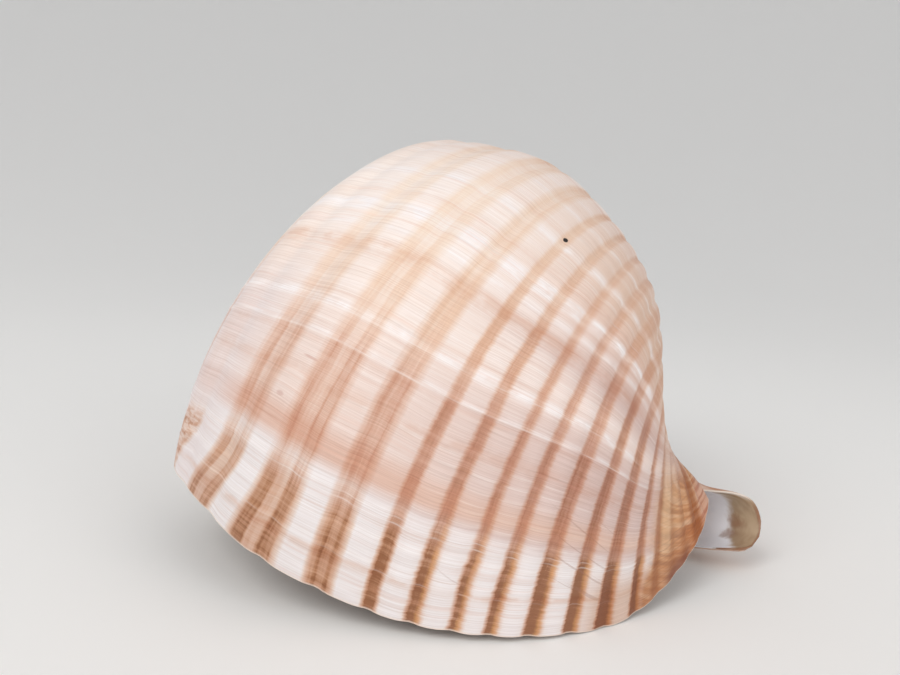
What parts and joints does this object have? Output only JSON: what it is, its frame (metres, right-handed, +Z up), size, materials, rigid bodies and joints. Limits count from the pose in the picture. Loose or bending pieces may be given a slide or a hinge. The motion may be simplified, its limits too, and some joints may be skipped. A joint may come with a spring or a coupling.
{
  "type": "tun shell",
  "caption": "Large rounded sea snail shell with a low coiled spire, broad flat spiral ribs, a wide open mouth and a short curled channel at its front end.",
  "frame": {"origin": "centre of the shell's bounding box, at the surface that it rests on", "axes": "+Z up from the surface; +X toward the channel end; -Y toward the side that the outer lip faces"},
  "size_m": [0.1578, 0.1624, 0.1116],
  "materials": {
    "shell": "satin, like thin porcelain, white with brown spiral bands"
  },
  "bodies": {
    "root": {"tun_shell": "shell"}
  },
  "joints": []
}
